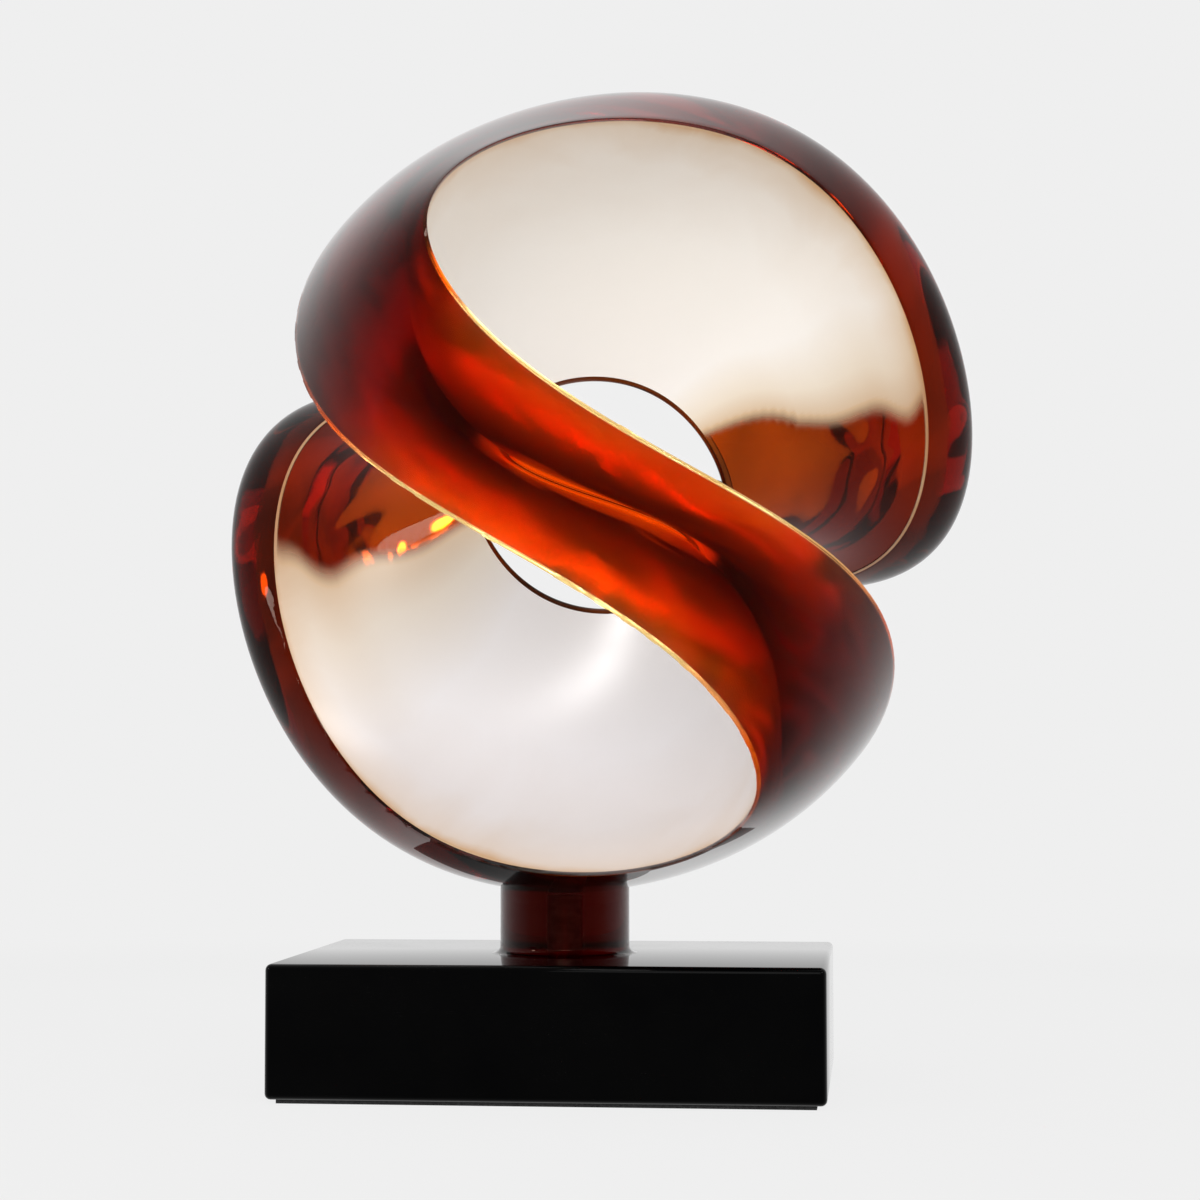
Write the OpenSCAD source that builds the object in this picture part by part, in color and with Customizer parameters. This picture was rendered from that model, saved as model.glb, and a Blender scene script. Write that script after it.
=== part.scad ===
// Abstract sphere sculpture: a closed, twisting ribbon of clear amber that wraps round a ball,
// with a pearl facing in its two dishes, on a short amber neck over a heavy black base.
// All lengths in millimetres.
// Origin: centre of the resting face. +Z up, -Y towards the viewer of the front strap.

/* [Base] */
// Width of the base block
base_w = 270; // [220:1:340]
// Depth of the base block
base_d = 184; // [160:1:240]
// Height of the base block above the felt
base_h = 65; // [56:1:90]
// Rounding of the block's edges
base_edge_r = 3; // [1:0.5:6]
// Thickness of the block's side walls
base_wall = 19; // [17:1:30]
// Thickness of the block's top
base_top_t = 20; // [16:1:24]

/* [Underside] */
// Thickness of the felt under the block
felt_t = 2; // [1:0.5:4]
// Distance from the block's edge to the felt's edge
felt_inset = 5; // [3:0.5:10]
// Thickness of the board that closes the block
cover_t = 5; // [4:0.5:8]
// Width of the ledge that the board is screwed to
cover_ledge = 10; // [8:0.5:12]
// Diameter of the board's wood screws
screw_d = 3.5; // [2.5:0.5:4.5]
// Length of the board's wood screws
screw_len = 18; // [12:1:24]
// Thickness of the steel plate inside the block
ballast_t = 8; // [4:1:10]

/* [Neck] */
// Diameter of the neck
neck_d = 66; // [56:1:72]
// Height of the neck from the block's top to the ribbon's underside
neck_h = 30.5; // [20:0.5:60]
// How far the neck's foot flares out
neck_flare = 4; // [1:0.5:8]
// How far the neck goes up into the ribbon above its lowest point
socket_depth = 9; // [7:0.5:10]

/* [Fixing] */
// Diameter of the threaded rod up the middle
rod_d = 12; // [8:1:14]
// Gap round the rod, the screws and the neck in their holes
fit_gap = 0.1; // [0.05:0.05:0.3]
// Gap round the plate and the board in the block
board_gap = 0.5; // [0.2:0.1:1.5]

/* [Ribbon path] */
// Reach of the two loops away from the hole
loop_reach = 161.9; // [150:0.1:175]
// Bulge that carries each loop out and back under the strap
loop_bulge = 50.3; // [44:0.1:56]
// Rearward skew of the loops
loop_skew = 4.4; // [2:0.1:8]
// Reach of the straps from end to end, halved
strap_reach = 166.8; // [155:0.1:178]
// Squareness of the straps' ends
strap_square = 7.8; // [4:0.1:10]
// Drift of each loop along the strap
strap_drift = 14.1; // [8:0.1:18]
// Depth from the middle to the front strap, main wave
depth_reach = 177.5; // [165:0.1:190]
// Depth of the straps' extra bow
depth_bow = 26.3; // [18:0.1:34]
// Difference in depth between front and rear
depth_skew = 10.1; // [6:0.1:14]

/* [Ribbon section] */
// Half width of the band, on average
band_half = 39.5; // [36:0.1:43]
// Extra half width towards the front strap
band_front = 16.4; // [12:0.1:18]
// Extra half width where loops and straps meet
band_swell = 12.2; // [9:0.1:13]
// Flattening of that swell
band_swell_trim = 5.3; // [3:0.1:7]
// Narrowing at the middle of both straps
band_waist = 1.8; // [0:0.1:4]
// Crown of the band's outer face, on average
crown = 13; // [11.5:0.1:15]
// Extra crown towards the rear strap
crown_rear = 8.5; // [6:0.1:9.5]
// Roll of the band, first wave, in degrees
roll_first = 16; // [12:0.1:20]
// Roll of the band, second wave, in degrees
roll_second = 30.4; // [26:0.1:34]
// Roll of the band, fourth wave, in degrees
roll_fourth = 3.9; // [0:0.1:6]
// Width of bare amber between the sharp rim and the pearl facing
rim_strip = 1.5; // [1:0.1:4]
// Thickness of the pearl facing, across the band
facing_t = 1.5; // [1:0.1:2]
// Half length of the hole across the straps
hole_across = 61.3; // [54:0.1:68]
// Half length of the hole along the straps
hole_along = 60.4; // [54:0.1:66]
// Half depth of the hole from front to rear
hole_deep = 52; // [46:0.1:58]
// Thickness of the web at the hole
web_edge_t = 6; // [5:0.5:9]
// How far the lip stands into the hole
lip_t = 3; // [2:0.5:5]
// Hollowness of the dishes, 1 is straight
dish_hollow = 3; // [2:0.1:3.6]

/* [Ribbon stance] */
// Spin of the strap in the front view, in degrees
spin = 59.4; // [55:0.1:64]
// Lean of the ribbon towards the viewer, in degrees
tilt = 7.1; // [4:0.1:10]
// Turn of the ribbon about the neck, in degrees
turn = 5.2; // [0:0.1:10]
// Place along the ribbon that stands on the neck, in degrees
foot_at = -71; // [-73:0.1:-69]
// Place across the band that stands on the neck, -1 to 1
foot_across = 0.23; // [0.15:0.01:0.3]

/* [Smoothness] */
// Steps in each quarter of the ribbon
quarter_steps = 30; // [18:2:36]
// Steps from the band's middle to its rim
band_steps = 5; // [3:1:7]
// Steps from the band to the hole
dish_steps = 7; // [5:1:9]

/* [Hidden] */
round_fn = 48;

amber = "#8a2d08";
pearl = "#efe2c8";
lacquer = "#0b0b0c";
steel = "#b9bcc0";

base_top = felt_t + base_h;
pocket_top = base_top - base_top_t;
pocket_w = base_w - 2 * base_wall;
pocket_d = base_d - 2 * base_wall;
cover_top = felt_t + cover_t;
foot_z = base_top + neck_h;
socket_top = foot_z + socket_depth;
neck_r = neck_d / 2;
rod_hole_d = rod_d + 1;
nut_flats = 1.6 * rod_d;
nut_t = 0.9 * rod_d;
washer_d = 2 * rod_d;
washer_t = 0.2 * rod_d;
rod_tail = 2;
rod_clear = 1;
ballast_low = pocket_top - ballast_t;
washer_low = ballast_low - washer_t;
nut_low = washer_low - nut_t;
rod_low = nut_low - rod_tail;
rod_high = foot_z - rod_clear;
step_t = 90 / quarter_steps;
cut = 1;

function unit(v) = v / norm(v);

// The ribbon's path round the ball, before it is stood up: across, along, towards the viewer
function path(t) = [
    loop_reach * sin(t) - loop_bulge * sin(3 * t) - loop_skew * sin(4 * t),
    strap_reach * sin(2 * t) + strap_square * sin(4 * t) - strap_drift * sin(t),
    depth_reach * cos(t) + depth_bow * cos(3 * t) - depth_skew * cos(4 * t)
];
function path_slope(t) = [
    loop_reach * cos(t) - 3 * loop_bulge * cos(3 * t) - 4 * loop_skew * cos(4 * t),
    2 * strap_reach * cos(2 * t) + 4 * strap_square * cos(4 * t) - strap_drift * cos(t),
    4 * depth_skew * sin(4 * t) - depth_reach * sin(t) - 3 * depth_bow * sin(3 * t)
];

// The hole's edge is the same path, drawn in
hole_scale = [hole_across / (loop_reach + loop_bulge), hole_along / strap_reach,
              hole_deep / (depth_reach + depth_bow)];
function hole_edge(t) = [for (i = [0:2]) path(t)[i] * hole_scale[i]];

function roll(t) = roll_first * sin(t) - roll_second * sin(2 * t) - roll_fourth * sin(4 * t);
function half_width(t) = band_half + band_front * cos(t) - band_waist * cos(2 * t)
    - band_swell * cos(3 * t) - band_swell_trim * cos(4 * t);
function crown_height(t) = crown - crown_rear * cos(t);

// Unit vectors of the section at t: along the path, across the band, out of the band
function along(t) = unit(path_slope(t));
function outward(t) = let (p = path(t), a = along(t)) unit(p - (p * a) * a);
function across(t) = let (n = outward(t), b = cross(along(t), n))
    cos(roll(t)) * b - sin(roll(t)) * n;
function out_of(t) = let (n = outward(t), b = cross(along(t), n))
    cos(roll(t)) * n + sin(roll(t)) * b;

// q runs from rim to rim across the band, -1 to 1
function band_point(t, q) = path(t) + half_width(t) * q * across(t)
    - crown_height(t) * q * q * out_of(t);
// u runs down the dish from the rim, 0, to the hole, 1
function web_middle(t, u) = let (top = path(t) - crown_height(t) * out_of(t))
    top + u * (hole_edge(t) - top);
function web_depth(t) = norm(hole_edge(t) - web_middle(t, 0));
function rim_share(t) = rim_strip / web_depth(t);
function web_half(t, u) = web_edge_t / 2
    + (half_width(t) - web_edge_t / 2) * pow(1 - u, dish_hollow);
function dish_point(t, u, side, inset = 0) = web_middle(t, u)
    + side * (web_half(t, u) - inset) * across(t);
function lip_point(t, rise, half, side) =
    web_middle(t, 1 + rise / web_depth(t)) + side * half * across(t);

// Standing the ribbon up over the neck
function spun(p) = [p.x * cos(spin) - p.y * sin(spin), -p.z, p.x * sin(spin) + p.y * cos(spin)];
function leant(p) = [p.x, p.y * cos(tilt) - p.z * sin(tilt), p.y * sin(tilt) + p.z * cos(tilt)];
function turned(p) = [p.x * cos(turn) - p.y * sin(turn), p.x * sin(turn) + p.y * cos(turn), p.z];
function stood(p) = turned(leant(spun(p)));
ribbon_centre = [0, 0, foot_z] - stood(band_point(foot_at, foot_across));
function place(p) = ribbon_centre + stood(p);

// One side of a section from its crown down: band, bare rim, bed of the facing, lip of the hole
function facing_side(t, side, inset) = let (u0 = rim_share(t))
    [for (i = [0:dish_steps]) dish_point(t, u0 + (1 - u0) * i / dish_steps, side, inset)];
function amber_side(t, side) = concat(
    [for (i = [1:band_steps]) band_point(t, side * (2 * i - 1) / (2 * band_steps - 1))],
    [dish_point(t, rim_share(t), side)],
    facing_side(t, side, facing_t),
    [dish_point(t, 1, side),
     lip_point(t, lip_t * 0.7, web_edge_t * 0.36, side),
     lip_point(t, lip_t, web_edge_t * 0.13, side)]);

function reversed(list) = [for (i = [len(list) - 1:-1:0]) list[i]];
function ring(first, second) = [for (p = concat(first, reversed(second))) place(p)];
function flipped(faces, flip) = [for (f = faces) flip ? reversed(f) : f];

// Skin between rings of m points; the last ring joins the first one in a closed ribbon
function skin_faces(rings, m, closed) = [
    for (i = [0:rings - (closed ? 1 : 2)], j = [0:m - 1], half = [0, 1])
        let (a = i * m + j, b = i * m + (j + 1) % m,
             c = ((i + 1) % rings) * m + (j + 1) % m, d = ((i + 1) % rings) * m + j)
        half == 0 ? [a, b, c] : [a, c, d]];
// Flat end of a section: a ladder between its two sides
function end_faces(start, m) = [
    for (i = [0:m / 2 - 2], half = [0, 1])
        let (a = start + i, b = start + i + 1, c = start + m - 2 - i, d = start + m - 1 - i)
        half == 0 ? [a, c, b] : [a, d, c]];

module ribbon(rings, closed = false, flip = false) {
    m = len(rings[0]);
    n = len(rings);
    skin = skin_faces(n, m, closed);
    ends = closed ? [] : concat(end_faces(0, m), flipped(end_faces((n - 1) * m, m), true));
    polyhedron([for (r = rings) each r], flipped(concat(skin, ends), flip), convexity = 6);
}

function quarter(from) = [for (i = [0:quarter_steps]) from + i * step_t];

module amber_section(from) {
    ribbon([for (t = quarter(from)) ring(amber_side(t, 1), amber_side(t, -1))]);
}

module front_strap() { color(amber) amber_section(-45); }
module upper_loop() { color(amber) amber_section(45); }
module rear_strap() { color(amber) amber_section(135); }
module lower_loop() {
    color(amber) difference() {
        amber_section(225);
        translate([0, 0, base_top])
            cylinder(d = neck_d + 2 * fit_gap, h = socket_top - base_top, $fn = round_fn);
    }
}

// A facing closes on itself all the way round, like the dish it lies in
all_round = [for (i = [0:4 * quarter_steps - 1]) i * step_t];
module upper_dish() {
    color(pearl)
        ribbon([for (t = all_round) ring(facing_side(t, 1, facing_t), facing_side(t, 1, 0))],
               closed = true, flip = true);
}
module lower_dish() {
    color(pearl)
        ribbon([for (t = all_round) ring(facing_side(t, -1, 0), facing_side(t, -1, facing_t))],
               closed = true, flip = true);
}

flare_steps = 8;
module neck() {
    flare = [for (i = [0:flare_steps]) let (a = 90 * i / flare_steps)
        [neck_r + neck_flare * (1 - sin(a)), base_top + neck_flare * (1 - cos(a))]];
    color(amber) difference() {
        rotate_extrude($fn = round_fn)
            polygon(concat([[0, base_top]], flare, [[neck_r, socket_top], [0, socket_top]]));
        translate([0, 0, base_top - cut])
            cylinder(d = rod_d + 2 * fit_gap, h = rod_high + fit_gap - base_top + cut,
                     $fn = round_fn);
    }
}

module threaded_rod() {
    color(steel) translate([0, 0, rod_low])
        cylinder(d = rod_d, h = rod_high - rod_low, $fn = round_fn);
}

module rod_washer() {
    color(steel) translate([0, 0, washer_low]) difference() {
        cylinder(d = washer_d, h = washer_t, $fn = round_fn);
        translate([0, 0, -cut]) cylinder(d = rod_hole_d, h = washer_t + 2 * cut, $fn = round_fn);
    }
}

module rod_nut() {
    color(steel) translate([0, 0, nut_low]) difference() {
        cylinder(d = nut_flats / cos(30), h = nut_t, $fn = 6);
        translate([0, 0, -cut])
            cylinder(d = rod_d + 2 * fit_gap, h = nut_t + 2 * cut, $fn = round_fn);
    }
}

module box(w, d, low, high) {
    translate([-w / 2, -d / 2, low]) cube([w, d, high - low]);
}

module board_screw_places() {
    for (x = [-1, 1], y = [-1, 1])
        translate([x * (pocket_w + cover_ledge) / 2, y * (pocket_d + cover_ledge) / 2, felt_t])
            children();
}

screw_head_d = 2 * screw_d;
module base_block() {
    r = base_edge_r;
    color(lacquer) difference() {
        hull() for (x = [-1, 1], y = [-1, 1], z = [felt_t + r, base_top - r])
            translate([x * (base_w / 2 - r), y * (base_d / 2 - r), z]) sphere(r, $fn = 32);
        box(pocket_w, pocket_d, 0, pocket_top);
        box(pocket_w + 2 * cover_ledge, pocket_d + 2 * cover_ledge, 0, cover_top);
        cylinder(d = rod_hole_d, h = base_top + cut, $fn = round_fn);
        board_screw_places()
            cylinder(d = screw_d + 2 * fit_gap, h = screw_len + fit_gap, $fn = round_fn);
    }
}

module ballast_plate() {
    color(steel) difference() {
        box(pocket_w - 2 * board_gap, pocket_d - 2 * board_gap, ballast_low, pocket_top);
        cylinder(d = rod_hole_d, h = base_top, $fn = round_fn);
    }
}

module screw_head(gap) {
    h = screw_d / 2;
    cylinder(d1 = screw_head_d + 2 * gap, d2 = screw_d + 2 * gap, h = h, $fn = round_fn);
}

module bottom_board() {
    grow = 2 * (cover_ledge - board_gap);
    color("#6b5138") difference() {
        box(pocket_w + grow, pocket_d + grow, felt_t, cover_top);
        board_screw_places() {
            screw_head(fit_gap);
            translate([0, 0, -cut])
                cylinder(d = screw_d + 2 * fit_gap, h = cover_t + 2 * cut, $fn = round_fn);
        }
    }
}

module board_screws() {
    color(steel) board_screw_places() {
        screw_head(0);
        cylinder(d = screw_d, h = screw_len, $fn = round_fn);
    }
}

module felt_pad() {
    color("#161616") box(base_w - 2 * felt_inset, base_d - 2 * felt_inset, 0, felt_t);
}

front_strap();
upper_loop();
rear_strap();
lower_loop();
upper_dish();
lower_dish();
neck();
threaded_rod();
rod_washer();
rod_nut();
base_block();
ballast_plate();
bottom_board();
board_screws();
felt_pad();
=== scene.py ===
# %% [markdown]
# # An amber ribbon sculpture on a black plinth
#
# The object is a closed ribbon of clear amber acrylic that winds round a ball. Its outer face is
# a smooth crowned band, and between the band's sharp rims and the hole in the middle lie two
# hollow dishes with a pearl facing. A short amber neck carries it over a gloss black plinth.
# The CAD model gives the places and sizes; this lesson makes the surfaces that the eye sees.

# %% The frame
import math
from functools import lru_cache

import bmesh
import bpy
from mathutils import Matrix, Vector


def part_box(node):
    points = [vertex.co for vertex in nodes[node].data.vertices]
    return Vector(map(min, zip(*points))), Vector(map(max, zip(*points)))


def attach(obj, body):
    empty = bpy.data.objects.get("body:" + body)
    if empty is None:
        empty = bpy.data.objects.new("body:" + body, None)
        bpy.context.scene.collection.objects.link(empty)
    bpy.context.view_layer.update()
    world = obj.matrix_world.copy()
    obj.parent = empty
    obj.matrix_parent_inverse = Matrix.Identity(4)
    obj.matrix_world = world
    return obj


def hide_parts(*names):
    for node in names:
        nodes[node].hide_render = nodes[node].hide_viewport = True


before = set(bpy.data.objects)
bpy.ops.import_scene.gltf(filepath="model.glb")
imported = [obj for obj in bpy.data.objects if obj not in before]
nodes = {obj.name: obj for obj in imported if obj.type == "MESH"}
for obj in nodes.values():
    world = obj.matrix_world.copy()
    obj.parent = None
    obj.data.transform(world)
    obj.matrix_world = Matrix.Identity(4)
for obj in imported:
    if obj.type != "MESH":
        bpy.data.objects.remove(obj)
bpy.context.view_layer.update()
MM = 0.001

# %% [markdown]
# ## The ribbon's line
#
# The ribbon follows a line like the seam of a tennis ball: it crosses the front as a strap, goes
# over as a loop, crosses the back, and comes round below. A curve object could follow that line,
# but its profile can't change on the way. A formula can: at every angle t it gives the middle of
# the band, the direction across it and the direction out of it, with the same values as the CAD.

# %% The ribbon's line
LOOP_REACH, LOOP_BULGE, LOOP_SKEW = 161.9 * MM, 50.3 * MM, 4.4 * MM
STRAP_REACH, STRAP_SQUARE, STRAP_DRIFT = 166.8 * MM, 7.8 * MM, 14.1 * MM
DEPTH_REACH, DEPTH_BOW, DEPTH_SKEW = 177.5 * MM, 26.3 * MM, 10.1 * MM
HOLE_ACROSS, HOLE_ALONG, HOLE_DEEP = 61.3 * MM, 60.4 * MM, 52.0 * MM


def wave(kind, t, times):
    """Sine or cosine of a multiple of t degrees."""
    return kind(math.radians(times * t))


def ribbon_line(t):
    sin, cos = math.sin, math.cos
    return Vector((
        LOOP_REACH * wave(sin, t, 1) - LOOP_BULGE * wave(sin, t, 3) - LOOP_SKEW * wave(sin, t, 4),
        STRAP_REACH * wave(sin, t, 2) + STRAP_SQUARE * wave(sin, t, 4)
        - STRAP_DRIFT * wave(sin, t, 1),
        DEPTH_REACH * wave(cos, t, 1) + DEPTH_BOW * wave(cos, t, 3) - DEPTH_SKEW * wave(cos, t, 4),
    ))


def hole_line(t):
    """The hole's edge is the same line, drawn in."""
    middle = ribbon_line(t)
    return Vector((
        middle.x * HOLE_ACROSS / (LOOP_REACH + LOOP_BULGE),
        middle.y * HOLE_ALONG / STRAP_REACH,
        middle.z * HOLE_DEEP / (DEPTH_REACH + DEPTH_BOW),
    ))


front, back = ribbon_line(0), ribbon_line(180)
print("strap to strap:", round((front - back).length / MM), "mm")

# %% [markdown]
# ## The ribbon's section
#
# Across the ribbon lie the crowned band, a sharp rim on each side, and two dishes that draw in to
# a thin web at the hole. The band swells where loop and strap meet, and it rolls as it goes round.

# %% The ribbon's section
RIM_STRIP = 1.5 * MM
FACING_T = 1.5 * MM
WEB_EDGE = 3.0 * MM
LIP_REACH = 3.0 * MM
DISH_HOLLOW = 3
SLOPE_STEP = 0.01


def half_width(t):
    cos = math.cos
    return MM * (39.5 + 16.4 * wave(cos, t, 1) - 1.8 * wave(cos, t, 2)
                 - 12.2 * wave(cos, t, 3) - 5.3 * wave(cos, t, 4))


def crown_height(t):
    return MM * (13.0 - 8.5 * wave(math.cos, t, 1))


def roll_angle(t):
    sin = math.sin
    return math.radians(16.0 * wave(sin, t, 1) - 30.4 * wave(sin, t, 2) - 3.9 * wave(sin, t, 4))


@lru_cache(maxsize=None)
def section(t):
    """Middle of the band, across and out of the band, top of the web, edge of the hole."""
    middle = ribbon_line(t)
    along = (ribbon_line(t + SLOPE_STEP) - ribbon_line(t - SLOPE_STEP)).normalized()
    outward = (middle - middle.dot(along) * along).normalized()
    sideways = along.cross(outward)
    roll = roll_angle(t)
    across = math.cos(roll) * sideways - math.sin(roll) * outward
    out_of = math.cos(roll) * outward + math.sin(roll) * sideways
    return middle, across, out_of, middle - crown_height(t) * out_of, hole_line(t)


def band_point(t, q):
    """q runs from rim to rim, -1 to 1."""
    middle, across, out_of, _, _ = section(t)
    return middle + half_width(t) * q * across - crown_height(t) * q * q * out_of


def dish_point(t, u, side, inset=0.0):
    """u runs down the dish, from 0 at the rim to 1 at the hole."""
    _, across, _, top, hole = section(t)
    half = WEB_EDGE + (half_width(t) - WEB_EDGE) * (1 - u) ** DISH_HOLLOW - inset
    return top + u * (hole - top) + side * half * across


def lip_point(t, turn):
    """The web ends at the hole in a half round; turn runs from one dish to the other."""
    _, across, _, top, hole = section(t)
    inward = (hole - top).normalized()
    return hole + WEB_EDGE * math.cos(turn) * across + LIP_REACH * math.sin(turn) * inward


def web_depth(t):
    _, _, _, top, hole = section(t)
    return (hole - top).length


# %% [markdown]
# ## Standing it up
#
# The line above lies flat, with the front strap towards the viewer. The sculpture is spun so that
# the strap falls from upper left to lower right, leant a little forward and turned about the neck.
# Its foot, a place on the lower loop, then comes to rest on the neck.

# %% Standing it up
FOOT = Vector((0, 0, 97.5 * MM))
FOOT_T, FOOT_Q = -71.0, 0.23
spin = Matrix.Rotation(math.radians(90), 4, "X") @ Matrix.Rotation(math.radians(59.4), 4, "Z")
lean = Matrix.Rotation(math.radians(7.1), 4, "X")
turn_about_neck = Matrix.Rotation(math.radians(5.2), 4, "Z")
stand = turn_about_neck @ lean @ spin
stand = Matrix.Translation(FOOT - stand @ band_point(FOOT_T, FOOT_Q)) @ stand
print("ribbon's middle stands at", [round(x, 4) for x in stand.translation])


# %% [markdown]
# ## From a flat grid to a ribbon
#
# A flat grid has all the faces that a ribbon needs: one way round the ball, the other way round
# the section. Each point of the grid is sent to its place, and the edges that then lie on each
# other are merged. The grid's own UV map goes along, so a finish can follow the ribbon later.

# %% From a flat grid to a ribbon
def bent_grid(columns, rows, place, mark, value):
    """A grid whose point (column, row) goes to place(column, row) and keeps a value as a mark."""
    bm = bmesh.new()
    bm.loops.layers.uv.new("ribbon_uv")
    layer = bm.verts.layers.float.new(mark)
    bmesh.ops.create_grid(bm, x_segments=columns, y_segments=rows, size=1, calc_uvs=True)
    marks = {}
    for v in bm.verts:
        column, row = round((v.co.x + 1) / 2 * columns), round((v.co.y + 1) / 2 * rows)
        marks[v] = (column, row)
        v.co = stand @ place(column, row)
        v[layer] = value(column, row)
    return bm, marks


def closed_up(bm):
    bmesh.ops.remove_doubles(bm, verts=bm.verts, dist=0.00001)
    bmesh.ops.recalc_face_normals(bm, faces=bm.faces)


def finished(bm, name, material, sharp=50):
    for face in bm.faces:
        face.smooth = True
    mesh = bpy.data.meshes.new(name)
    bm.to_mesh(mesh)
    bm.free()
    mesh.set_sharp_from_angle(angle=math.radians(sharp))
    mesh.materials.append(material)
    piece = bpy.data.objects.new(name, mesh)
    bpy.context.scene.collection.objects.link(piece)
    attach(piece, "root")
    print(name + ":", len(mesh.vertices), "points,", len(mesh.polygons), "faces")
    return piece


# %% [markdown]
# ## Finishes: a small kit
#
# Every finish is a Principled shader with a few texture nodes in front of it. These helpers add a
# node, feed it, and lay a noise on Object coordinates, so a pattern keeps its real size in metres.

# %% Finishes: a small kit
def new_finish(name):
    material = bpy.data.materials.new(name)
    material.use_nodes = True
    tree = material.node_tree
    return material, tree, tree.nodes["Principled BSDF"]


def add_node(tree, kind, inputs=None, **settings):
    node = tree.nodes.new("ShaderNode" + kind)
    for key, value in settings.items():
        setattr(node, key, value)
    for key, value in (inputs or {}).items():
        if isinstance(value, bpy.types.NodeSocket):
            tree.links.new(value, node.inputs[key])
        else:
            node.inputs[key].default_value = value
    return node


def set_inputs(shader, **values):
    for key, value in values.items():
        shader.inputs[key.replace("_", " ")].default_value = value


def noise(tree, size, detail=3.0, stretch=(1, 1, 1), warp=0.0):
    """Noise whose patches are about size metres across."""
    coords = add_node(tree, "TexCoord")
    mapping = add_node(tree, "Mapping", {"Vector": coords.outputs["Object"], "Scale": stretch})
    return add_node(tree, "TexNoise", {
        "Vector": mapping.outputs["Vector"], "Scale": 1 / size, "Detail": detail,
        "Distortion": warp}).outputs["Fac"]


def ramp(tree, factor, *stops):
    """A colour ramp of (place, colour) stops."""
    node = add_node(tree, "ValToRGB", {"Fac": factor})
    elements = node.color_ramp.elements
    while len(elements) < len(stops):
        elements.new(0.5)
    for element, (place, colour) in zip(elements, stops):
        element.position = place
        element.color = (*colour, 1)
    return node.outputs["Color"]


def spread(tree, factor, low, high):
    """Takes a factor of 0 to 1 to a range of numbers."""
    return add_node(tree, "MapRange", {"Value": factor, "To Min": low, "To Max": high}).outputs[0]


def bumped(tree, shader, height, strength, distance):
    bump = add_node(tree, "Bump", {"Height": height, "Strength": strength, "Distance": distance})
    tree.links.new(bump.outputs["Normal"], shader.inputs["Normal"])


# %% [markdown]
# ## Amber acrylic
#
# Clear cast acrylic bends light and soaks it up on the way: a thin edge looks honey, a finger's
# width orange, and the full depth deep red to black. Painting those colours on would slide off
# when the view changes, so the shader lets light in and a volume absorbs it, as the real one does.
# Slow swirls in the tint and a trace of ripple from the polishing keep it from looking computed.
# The surface has a tone as well, and it is painted light: a mark called "light" on the ribbon
# paints the front strap clearer and the ribbon darker away from it, a painted glow and painted
# shade, and the neck is a deeper batch. A bright backdrop would veil dark amber like a window pane,
# so Specular
# Tint holds back what it mirrors head-on and leaves the mirroring at its edges.

# %% Amber acrylic
AMBER_IOR, AMBER_DENSITY = 1.49, 140.0
AMBER_MIRROR = (0.12, 0.08, 0.06, 1)
SWIRL_SHARE = 0.5


def amber_acrylic(name, soak, *tones):
    """Clear amber: soak is what light keeps on its way through, tones go from dark to light."""
    material, tree, shader = new_finish(name)
    set_inputs(shader, Transmission_Weight=1.0, IOR=AMBER_IOR, Specular_Tint=AMBER_MIRROR)
    swirl = noise(tree, 0.09, detail=2.0, stretch=(1, 1, 0.6), warp=0.8)
    # The "light" mark paints the front strap clearer and the bands darker: a painted glow and
    # painted shade.
    light = add_node(tree, "Attribute", attribute_name="light").outputs["Fac"]
    depth = add_node(tree, "Math", {0: swirl, 1: SWIRL_SHARE, 2: light}, operation="MULTIPLY_ADD")
    tree.links.new(ramp(tree, depth.outputs[0], *tones), shader.inputs["Base Color"])
    polish = noise(tree, 0.03, detail=5.0)
    tree.links.new(spread(tree, polish, 0.0, 0.012), shader.inputs["Roughness"])
    bumped(tree, shader, noise(tree, 0.05, detail=1.0), 0.05, 0.001)
    volume = add_node(tree, "VolumeAbsorption", {"Color": (*soak, 1), "Density": AMBER_DENSITY})
    output = tree.nodes["Material Output"]
    tree.links.new(volume.outputs["Volume"], output.inputs["Volume"])
    return material


amber = amber_acrylic("amber_acrylic", (0.995, 0.87, 0.1), (0.22, (0.05, 0.012, 0.005)),
                      (0.65, (0.8, 0.15, 0.015)), (1.0, (1.0, 0.97, 0.92)))
deep_amber = amber_acrylic("deep_amber_acrylic", (0.68, 0.12, 0.01), (0.15, (0.3, 0.12, 0.06)),
                           (0.4, (0.9, 0.8, 0.7)))
print("finishes:", amber.name, deep_amber.name)

# %% [markdown]
# ## The amber ribbon
#
# The rows of the grid go once round the section: over the band from rim to rim, down one dish,
# round the lip at the hole and up the other dish. Under the facing the amber lies a little lower.
# The rims are sharp to the eye but not to the finger, so they get a small bevel. The front strap
# is painted as the clearest stretch and the ribbon is painted darker from there to both sides, a
# painted glow and painted shade, so every point also keeps its share of that painted glow as a
# mark.

# %% The amber ribbon
TURNS = 300
BAND_ROWS, DISH_ROWS, LIP_ROWS = 24, 30, 8
ROW_CROWD = 1.7
BED_DEPTH = 0.5 * MM
RIM_BEVEL = 0.6 * MM
# Where the painted glow peaks on the strap, where it ends on each side, and how much the beds get.
STRAP_GLOW_PEAK, STRAP_GLOW_ENDS, BED_GLOW = 9, (-50, 30), 0.15


def dish_rows(side):
    """Rows down a dish, closer together near the rim, where it is steep."""
    steps = [(i / DISH_ROWS) ** ROW_CROWD for i in range(DISH_ROWS + 1)]
    return [("rim", side, 0)] + [("bed", side, u) for u in steps]


section_rows = [("band", 0, -1 + 2 * i / BAND_ROWS) for i in range(BAND_ROWS + 1)]
section_rows += dish_rows(1)
section_rows += [("lip", 0, math.pi * i / LIP_ROWS) for i in range(LIP_ROWS + 1)]
section_rows += dish_rows(-1)[::-1]
section_rows += section_rows[:1]


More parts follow.
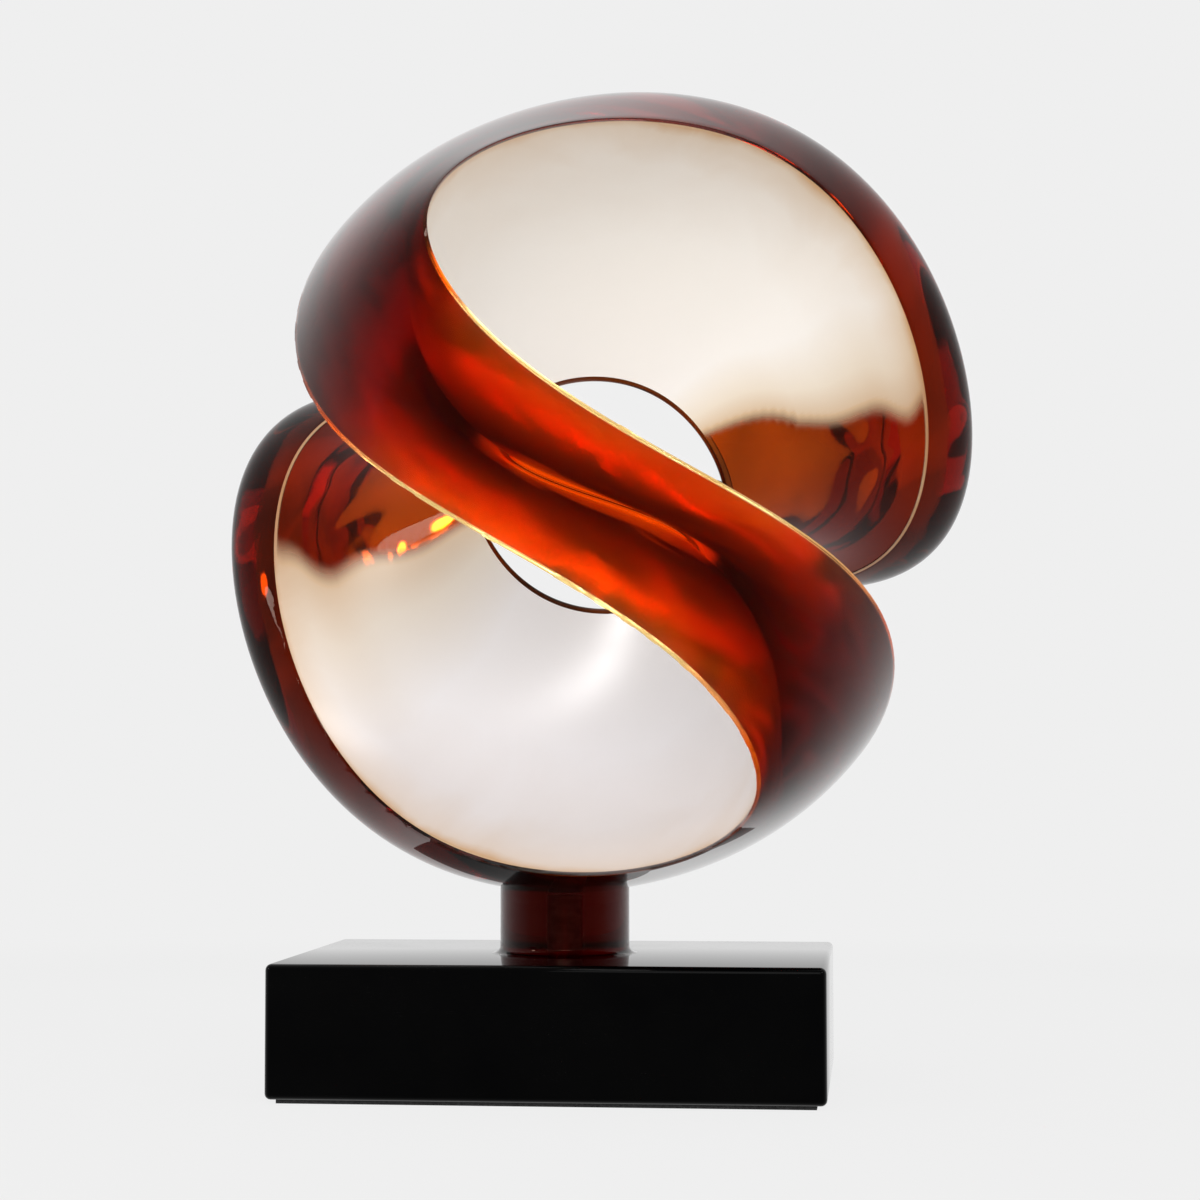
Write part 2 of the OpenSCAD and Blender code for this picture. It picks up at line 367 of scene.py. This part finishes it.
def amber_point(column, row):
    t = 360 * (column % TURNS) / TURNS
    kind, side, value = section_rows[row]
    if kind == "band":
        return band_point(t, value)
    if kind == "lip":
        return lip_point(t, value)
    strip = RIM_STRIP / web_depth(t)
    if kind == "rim":
        return dish_point(t, strip, side)
    return dish_point(t, strip + (1 - strip) * value, side, BED_DEPTH)


def painted_glow_share(column, row):
    """Share of painted glow: 1 in the front strap, 0 from its ends on, a little in the beds under
    the facings.
    """
    t = (360 * column / TURNS + 180) % 360 - 180
    end = STRAP_GLOW_ENDS[1] if t > STRAP_GLOW_PEAK else STRAP_GLOW_ENDS[0]
    share = max((end - t) / (end - STRAP_GLOW_PEAK), 0)
    inside = BED_GLOW if section_rows[row][0] == "bed" else 0
    return max(share * share * (3 - 2 * share), inside)


# The "light" mark carries the painted glow of the front strap and the painted shade of the bands.
bm, marks = bent_grid(TURNS, len(section_rows) - 1, amber_point, "light", painted_glow_share)
rim_rows = {0, BAND_ROWS, len(section_rows) - 1}
rims = [e for e in bm.edges
        if marks[e.verts[0]][1] == marks[e.verts[1]][1] and marks[e.verts[0]][1] in rim_rows]
closed_up(bm)
rims = [e for e in rims if e.is_valid]
bmesh.ops.bevel(bm, geom=rims, offset=RIM_BEVEL, segments=3, profile=0.5, affect="EDGES",
                material=-1)
ribbon = finished(bm, "amber_ribbon", amber, sharp=35)
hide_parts("front_strap", "upper_loop", "rear_strap", "lower_loop")

# %% [markdown]
# ## Pearl
#
# The dishes carry a pale pearl facing with a gloss, white towards the hole and creamier higher up.
# Its gold along the rim is a painted glow, and the tan near the rim and the cooler grey lower down
# are painted shade. Pearl is mostly a soft white with fine cloudy flow, and its gloss is a coat
# over it, so the shader has a cream base under a coat. A mark called "depth" says how thick the
# pearl
# lies: at 0 it is bare, at 1 it covers under a painted warm reflection of the amber, at 2 it is
# white.

# %% Pearl
def pearl_facing():
    material, tree, shader = new_finish("pearl_facing")
    set_inputs(shader, Metallic=0.05, Coat_Weight=1.0, Coat_Roughness=0.3)
    cloud = noise(tree, 0.11, detail=4.0, warp=1.2)
    along = add_node(tree, "UVMap", uv_map="ribbon_uv")
    inwards = add_node(tree, "SeparateXYZ", {"Vector": along.outputs["UV"]}).outputs["Y"]
    middle = add_node(tree, "Math", {0: cloud, 1: 0.45, 2: inwards}, operation="MULTIPLY_ADD")
    # Gold at the rim and tan near it are painted: a painted glow along the rim and painted shade by
    # the band; the cloud gives the pearl's own cream and white.
    tint = ramp(tree, middle.outputs[0], (0.24, (0.66, 0.40, 0.18)), (0.34, (0.82, 0.70, 0.58)),
                (0.56, (0.93, 0.89, 0.85)), (0.85, (0.99, 0.98, 0.97)))
    # Cooler and darker below, creamier above, set by height: painted shade on the lower parts.
    height = add_node(tree, "SeparateXYZ", {"Vector": add_node(tree, "TexCoord").outputs["Object"]})
    rise = add_node(tree, "MapRange", {"Value": height.outputs["Z"], "From Min": 0.15,
                                       "From Max": 0.42})
    painted_height_shade = ramp(tree, rise.outputs[0], (0.0, (0.86, 0.835, 0.86)), (1.0, (1.0, 0.955, 0.89)))
    mixed = add_node(tree, "Mix", {0: 1.0, 6: tint, 7: painted_height_shade}, data_type="RGBA",
                     blend_type="MULTIPLY")
    # Beside a bare edge the pearl is tinted warm: a painted reflection of the amber.
    depth = add_node(tree, "Attribute", attribute_name="depth").outputs["Fac"]
    whole = add_node(tree, "MapRange", {"Value": depth, "From Min": 1, "From Max": 2}).outputs[0]
    painted_amber_reflection = ramp(tree, whole, (0.0, (0.70, 0.50, 0.30)), (0.4, (0.90, 0.82, 0.70)),
                 (1.0, (1, 1, 1)))
    with_painted_reflection = add_node(tree, "Mix", {0: 1.0, 6: mixed.outputs[2], 7: painted_amber_reflection}, data_type="RGBA",
                       blend_type="MULTIPLY")
    tree.links.new(with_painted_reflection.outputs[2], shader.inputs["Base Color"])
    grain = noise(tree, 0.012, detail=4.0)
    tree.links.new(spread(tree, grain, 0.3, 0.4), shader.inputs["Roughness"])
    bumped(tree, shader, noise(tree, 0.06, detail=1.0), 0.04, 0.001)
    tree.links.new(spread(tree, depth, 0.0, 1.0), shader.inputs["Alpha"])
    return material


pearl = pearl_facing()
print("finish:", pearl.name)

# %% [markdown]
# ## The facing's back
#
# Through the amber one sees the back of the facing, a warm metallic coat. It throws light about
# inside the ribbon, and together with the strap's painted clearer tone that makes the glow in the
# strap. A flat mirror would show plain pictures of the room, so the coat is wavy, and it goes from
# shiny at the rear to satin at the front.

# %% The facing's back
def warm_backing():
    material, tree, shader = new_finish("warm_backing")
    set_inputs(shader, Metallic=0.9)
    mist = noise(tree, 0.02, detail=4.0)
    tint = ramp(tree, mist, (0.3, (0.98, 0.66, 0.32)), (0.7, (1.0, 0.78, 0.46)))
    tree.links.new(tint, shader.inputs["Base Color"])
    along = add_node(tree, "UVMap", uv_map="ribbon_uv")
    turn = add_node(tree, "SeparateXYZ", {"Vector": along.outputs["UV"]}).outputs["X"]
    rear = add_node(tree, "Math", {0: turn, 1: 0.5}, operation="SUBTRACT")
    front = add_node(tree, "Math", {0: rear.outputs[0]}, operation="ABSOLUTE")
    satin = add_node(tree, "MapRange", {"Value": front.outputs[0], "From Min": 0.25,
                                        "From Max": 0.4, "To Min": 0.06, "To Max": 0.23})
    tree.links.new(satin.outputs[0], shader.inputs["Roughness"])
    bumped(tree, shader, noise(tree, 0.06, detail=0.5, warp=1.0), 0.6, 0.007)
    depth = add_node(tree, "Attribute", attribute_name="depth").outputs["Fac"]
    tree.links.new(spread(tree, depth, 0.0, 1.0), shader.inputs["Alpha"])
    return material


backing = warm_backing()
print("finish:", backing.name)

# %% [markdown]
# ## The facings
#
# A facing is the dish's own surface with a little thickness. The grid is bent into the dish, its
# ends are merged, and Solidify gives it a wall that reaches into the amber, so no air lies between
# them. Towards the rear strap the facing thins out, and the amber behind it shows through: its
# edge there is given in degrees from the rear strap, at five places from the rim to the hole.

# %% The facings
FACING_TURNS, FACING_ROWS = 720, 40
BARE_EDGE = {1: (63, 63, 64, 67, 77), -1: (57, 61, 64, 65, 65)}
FADE = {1: 3, -1: 4}
# How far from the bare edge the painted warm reflection of the amber reaches, in degrees.
REFLECTION_SPAN = {1: 14, -1: 24}
BARE_END, WAVE, WAVE_COUNT, RIM_LINE = 12, 0.8, 17, 0.1


def pearl_depth(t, u, side):
    """0 where the facing is bare beside the rear strap, 1 where it covers under a painted warm
    reflection, 2 where it is white.
    """
    before_rear = (180 - t) * side
    stops = BARE_EDGE[side]
    place = (len(stops) - 1) * u
    step = min(int(place), len(stops) - 2)
    edge = stops[step] + (stops[step + 1] - stops[step]) * (place - step)
    edge += WAVE * math.sin(WAVE_COUNT * u)
    past = max(before_rear - edge, BARE_END - before_rear)
    share = 1 if u < RIM_LINE else min(max(past / FADE[side] + 0.5, 0), 1)
    white = min(max(past / REFLECTION_SPAN[side], 0), 1)
    return share * share * (3 - 2 * share) + white


def facing(name, side, node):
    def place(column, row):
        t = 360 * (column % FACING_TURNS) / FACING_TURNS
        strip = RIM_STRIP / web_depth(t)
        return dish_point(t, strip + (1 - strip) * (row / FACING_ROWS) ** ROW_CROWD, side)

    def covering(column, row):
        return pearl_depth(360 * column / FACING_TURNS, row / FACING_ROWS, side)

    bm, _ = bent_grid(FACING_TURNS, FACING_ROWS, place, "depth", covering)
    closed_up(bm)
    middle = stand @ dish_point(0, 0.5, side)
    face = min(bm.faces, key=lambda f: (f.calc_center_median() - middle).length)
    outside = stand.to_3x3() @ section(0)[1] * side
    if face.normal.dot(outside) < 0:
        bmesh.ops.reverse_faces(bm, faces=bm.faces)
    skin = set(bm.faces)
    bmesh.ops.solidify(bm, geom=bm.faces[:], thickness=FACING_T)
    for f in bm.faces:
        f.material_index = 0 if f in skin else 1
    piece = finished(bm, name, pearl)
    piece.data.materials.append(backing)
    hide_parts(node)


facing("upper_facing", 1, "upper_dish")
facing("lower_facing", -1, "lower_dish")

# %% [markdown]
# ## The neck
#
# The neck is a short round of the deeper amber, turned with a small flare at its foot. Spinning a
# profile about the axis makes it in one step. The threaded rod up its middle comes from the CAD
# and shows through as a dark stripe, with no bore round it, so that no film of air shows.

# %% The neck
NECK_R, NECK_FLARE = 33.0 * MM, 4.0 * MM
PLINTH_TOP, NECK_TOP = 67.0 * MM, 106.5 * MM
FLARE_STEPS, NECK_SIDES = 8, 96


def turned(profile, sides):
    """Spins a profile of (radius, height) points about the Z axis."""
    bm = bmesh.new()
    points = [bm.verts.new((radius, 0, height)) for radius, height in profile]
    edges = [bm.edges.new(pair) for pair in zip(points, points[1:])]
    bmesh.ops.spin(bm, geom=points + edges, cent=(0, 0, 0), axis=(0, 0, 1),
                   angle=math.radians(360), steps=sides, use_merge=True)
    closed_up(bm)
    return bm


flare = [(NECK_R + NECK_FLARE * (1 - math.sin(a)), PLINTH_TOP + NECK_FLARE * (1 - math.cos(a)))
         for a in (math.pi / 2 * i / FLARE_STEPS for i in range(FLARE_STEPS + 1))]
neck_profile = [(0, PLINTH_TOP), *flare, (NECK_R, NECK_TOP), (0, NECK_TOP)]
neck = finished(turned(neck_profile, NECK_SIDES), "amber_neck", deep_amber, sharp=40)
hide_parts("neck")

# %% [markdown]
# ## The plinth
#
# The plinth is a box of board under many coats of black lacquer, polished until it mirrors. A
# cube gets its size, its edges get a small bevel, and the underside is inset and pushed up for
# the pocket that the ballast sits in. The lacquer is black with a very faint haze, and it mirrors
# most at a low angle, so its top shows the backdrop while its front stays black.

# %% The plinth
def black_lacquer():
    material, tree, shader = new_finish("black_lacquer")
    set_inputs(shader, Specular_Tint=(0.05, 0.05, 0.05, 1))
    haze = noise(tree, 0.04, detail=5.0)
    tint = ramp(tree, haze, (0.3, (0.0002, 0.0002, 0.0003)), (0.8, (0.001, 0.001, 0.001)))
    tree.links.new(tint, shader.inputs["Base Color"])
    tree.links.new(spread(tree, haze, 0.02, 0.07), shader.inputs["Roughness"])
    bumped(tree, shader, noise(tree, 0.05, detail=1.0), 0.02, 0.001)
    return material


lacquer = black_lacquer()
low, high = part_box("base_block")
PLINTH_EDGE, PLINTH_WALL, PLINTH_POCKET = 3.0 * MM, 19.0 * MM, 45.0 * MM
bm = bmesh.new()
bmesh.ops.create_cube(bm, size=1)
bmesh.ops.scale(bm, vec=high - low, verts=bm.verts)
bmesh.ops.translate(bm, vec=(high + low) / 2, verts=bm.verts)
bmesh.ops.bevel(bm, geom=bm.edges[:], offset=PLINTH_EDGE, segments=5, profile=0.5,
                affect="EDGES", material=-1)
underside = min(bm.faces, key=lambda f: f.calc_center_median().z - f.calc_area())
bmesh.ops.inset_region(bm, faces=[underside], thickness=PLINTH_WALL - PLINTH_EDGE)
pocket = bmesh.ops.extrude_face_region(bm, geom=[underside])["geom"]
bmesh.ops.translate(bm, vec=(0, 0, PLINTH_POCKET),
                    verts=[part for part in pocket if isinstance(part, bmesh.types.BMVert)])
bmesh.ops.delete(bm, geom=[underside], context="FACES")
bmesh.ops.recalc_face_normals(bm, faces=bm.faces)
plinth = finished(bm, "plinth", lacquer)
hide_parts("base_block")


# %% [markdown]
# ## The pieces that stay as the CAD made them
#
# Rod, nut, washer, ballast, board, screws and felt are plain shapes, so their CAD meshes stay and
# only get a finish: zinc-plated steel, fibreboard and felt.

# %% Finishes for the CAD pieces
def zinc_steel():
    material, tree, shader = new_finish("zinc_steel")
    set_inputs(shader, Metallic=1.0)
    spangle = noise(tree, 0.004, detail=4.0)
    tint = ramp(tree, spangle, (0.3, (0.42, 0.43, 0.45)), (0.7, (0.66, 0.67, 0.69)))
    tree.links.new(tint, shader.inputs["Base Color"])
    tree.links.new(spread(tree, spangle, 0.25, 0.45), shader.inputs["Roughness"])
    return material


def fibreboard():
    material, tree, shader = new_finish("fibreboard")
    set_inputs(shader, Roughness=0.8)
    fibre = noise(tree, 0.002, detail=8.0)
    tint = ramp(tree, fibre, (0.3, (0.24, 0.16, 0.09)), (0.7, (0.45, 0.33, 0.21)))
    tree.links.new(tint, shader.inputs["Base Color"])
    bumped(tree, shader, fibre, 0.3, 0.0003)
    return material


def black_felt():
    material, tree, shader = new_finish("black_felt")
    set_inputs(shader, Roughness=0.95, Sheen_Weight=0.4)
    fuzz = noise(tree, 0.0015, detail=8.0)
    tint = ramp(tree, fuzz, (0.3, (0.008, 0.008, 0.008)), (0.7, (0.04, 0.04, 0.04)))
    tree.links.new(tint, shader.inputs["Base Color"])
    bumped(tree, shader, fuzz, 0.6, 0.0005)
    return material


steel = zinc_steel()
kept_finishes = {"threaded_rod": steel, "rod_washer": steel, "rod_nut": steel,
                 "ballast_plate": steel, "board_screws": steel,
                 "bottom_board": fibreboard(), "felt_pad": black_felt()}
for name, material in kept_finishes.items():
    nodes[name].data.materials.clear()
    nodes[name].data.materials.append(material)
print("kept from the CAD:", ", ".join(kept_finishes))

# %% [markdown]
# ## The room
#
# The sculpture stands on a pale floor before a pale backdrop. The camera, the reflections and the
# rays that leave the amber all see that backdrop, plain on every side. Only the light that falls
# on the object has a direction: it is brighter from behind and from above than from the front.

# %% The room
BACKDROP = 0.863
ROOM_DIM = 0.55
CEILING = 0.75
TO_BACK, TO_CEILING = (0, 0.97, -0.24), (-0.35, -0.3, 0.89)


def shows_backdrop(tree):
    """1 for rays from the camera, out of a mirror or out of the amber, 0 for light that falls."""
    path = add_node(tree, "LightPath")
    shown = path.outputs["Is Camera Ray"]
    for kind in ("Is Glossy Ray", "Is Transmission Ray"):
        shown = add_node(tree, "Math", {0: shown, 1: path.outputs[kind]},
                         operation="MAXIMUM").outputs[0]
    return shown


def studio_world():
    world = bpy.data.worlds.new("studio")
    world.use_nodes = True
    tree = world.node_tree
    ground = tree.nodes["Background"]
    coords = add_node(tree, "TexCoord")

    def glow(direction, dark, bright, level):
        """Light that swells from dark to bright as the view turns towards a direction."""
        turn = add_node(tree, "VectorMath", {0: coords.outputs["Generated"], 1: direction},
                        operation="DOT_PRODUCT")
        return add_node(tree, "MapRange", {
            "Value": turn.outputs["Value"], "From Min": dark, "From Max": bright,
            "To Min": ROOM_DIM, "To Max": level}, interpolation_type="SMOOTHSTEP").outputs[0]

    back = glow(TO_BACK, 0.78, 0.95, BACKDROP)
    above = glow(TO_CEILING, 0.42, 0.68, CEILING)
    level = add_node(tree, "Math", {0: back, 1: above}, operation="MAXIMUM")
    seen = add_node(tree, "Mix", {0: shows_backdrop(tree), 2: level.outputs[0], 3: BACKDROP},
                    data_type="FLOAT")
    tree.links.new(seen.outputs[0], ground.inputs["Strength"])
    ground.inputs["Color"].default_value = (1, 1, 1, 1)
    return world


scene = bpy.context.scene
scene.world = studio_world()
scene.view_settings.view_transform = "Standard"
print("world:", scene.world.name)

# %% [markdown]
# The floor is a wide sheet with a small gloss. It shows nearly as bright as the backdrop, and a
# small share of it is lit like any sheet, so the object's shadow still falls on it. That lit share
# is painted pale in a pool round the object and dark farther out: a painted pool of light.

# %% The floor
# Where the painted pool of light starts to fade, where it ends, and how bright it is.
POOL_FADE_START, POOL_FADE_END = 0.6, 1.2
POOL_LEVEL, LIT_SHARE, SPECKLE_SHARE = 0.95, 0.05, 0.05


def pale_floor():
    material, tree, shader = new_finish("pale_floor")
    speckle = noise(tree, 0.3, detail=2.0)
    coords = add_node(tree, "TexCoord")
    reach = add_node(tree, "VectorMath", {0: coords.outputs["Object"]}, operation="LENGTH")
    # Painted pool of light: the lit floor's colour is pale near the object and fades to dark
    # farther out.
    painted_pool = add_node(tree, "MapRange", {"Value": reach.outputs["Value"], "From Min": POOL_FADE_START,
                                       "From Max": POOL_FADE_END, "To Min": POOL_LEVEL, "To Max": 0.0},
                    interpolation_type="SMOOTHSTEP")
    speckle_and_painted_pool = add_node(tree, "Math", {0: speckle, 1: SPECKLE_SHARE, 2: painted_pool.outputs[0]},
                     operation="MULTIPLY_ADD")
    tint = ramp(tree, speckle_and_painted_pool.outputs[0], (0.0, (0.05, 0.05, 0.05)), (1.0, (0.86, 0.86, 0.86)))
    tree.links.new(tint, shader.inputs["Base Color"])
    set_inputs(shader, Roughness=0.7, Specular_IOR_Level=0.2)
    glow = add_node(tree, "Emission", {"Color": (BACKDROP, BACKDROP, BACKDROP, 1)})
    plain = add_node(tree, "Math", {0: painted_pool.outputs[0], 1: -LIT_SHARE, 2: 1.0},
                     operation="MULTIPLY_ADD")
    share = add_node(tree, "Math", {0: shows_backdrop(tree), 1: plain.outputs[0]},
                     operation="MULTIPLY")
    mix = add_node(tree, "MixShader", {0: share.outputs[0], 1: shader.outputs[0],
                                       2: glow.outputs[0]})
    tree.links.new(mix.outputs[0], tree.nodes["Material Output"].inputs["Surface"])
    return material


FLOOR_HALF = 6.0
bm = bmesh.new()
bmesh.ops.create_grid(bm, x_segments=4, y_segments=4, size=FLOOR_HALF)
mesh = bpy.data.meshes.new("floor")
bm.to_mesh(mesh)
bm.free()
mesh.materials.append(pale_floor())
floor = bpy.data.objects.new("floor", mesh)
scene.collection.objects.link(floor)
print("floor:", 2 * FLOOR_HALF, "m wide")

# %% [markdown]
# Five soft boxes light the object, each aimed at its middle: a small key on the left, a wide one
# overhead, a wide fill in front, one high on the right for the dishes, and a small one in front for
# glints. Round ones are used because they mirror as round spots in the curves.

# %% The lamps
LAMP_AIM = Vector((0, 0, 0.3))


def soft_box(name, place, width, power):
    light = bpy.data.lights.new(name, "AREA")
    light.shape = "DISK"
    light.size = width
    light.energy = power
    lamp = bpy.data.objects.new(name, light)
    lamp.location = place
    aim = LAMP_AIM - Vector(place)
    lamp.rotation_euler = aim.to_track_quat("-Z", "Y").to_euler()
    scene.collection.objects.link(lamp)
    print(name + ":", power, "W")


soft_box("key_light", (-1.4, -1.1, 0.85), 0.3, 5)
soft_box("top_light", (0.3, -0.5, 1.9), 1.1, 3)
soft_box("fill_light", (0.2, -2.0, 0.8), 0.9, 11)
soft_box("right_light", (1.3, -1.5, 1.1), 0.4, 9)
soft_box("spark_light", (-0.1, -1.3, 1.5), 0.2, 3)

# %% [markdown]
# ## The camera
#
# The camera stands low and a little to the right, as the photograph's did. Its place and turn come
# from the plinth's corners in the picture.

# %% The camera
CAMERA_PLACE = Vector((0.1595, -1.3384, 0.1639))
CAMERA_YAW, CAMERA_PITCH, CAMERA_ROLL = -6.025, 3.542, -0.070
camera_data = bpy.data.cameras.new("camera")
camera_data.sensor_width = 36
camera_data.lens = 78.6
camera = bpy.data.objects.new("camera", camera_data)
turn_up = Matrix.Rotation(math.radians(90 + CAMERA_PITCH), 4, "X")
turn_round = Matrix.Rotation(math.radians(-CAMERA_YAW), 4, "Z")
level_out = Matrix.Rotation(math.radians(CAMERA_ROLL), 4, "Z")
camera.matrix_world = Matrix.Translation(CAMERA_PLACE) @ turn_round @ turn_up @ level_out
scene.collection.objects.link(camera)
scene.camera = camera
print("camera at", [round(x, 3) for x in camera.location])
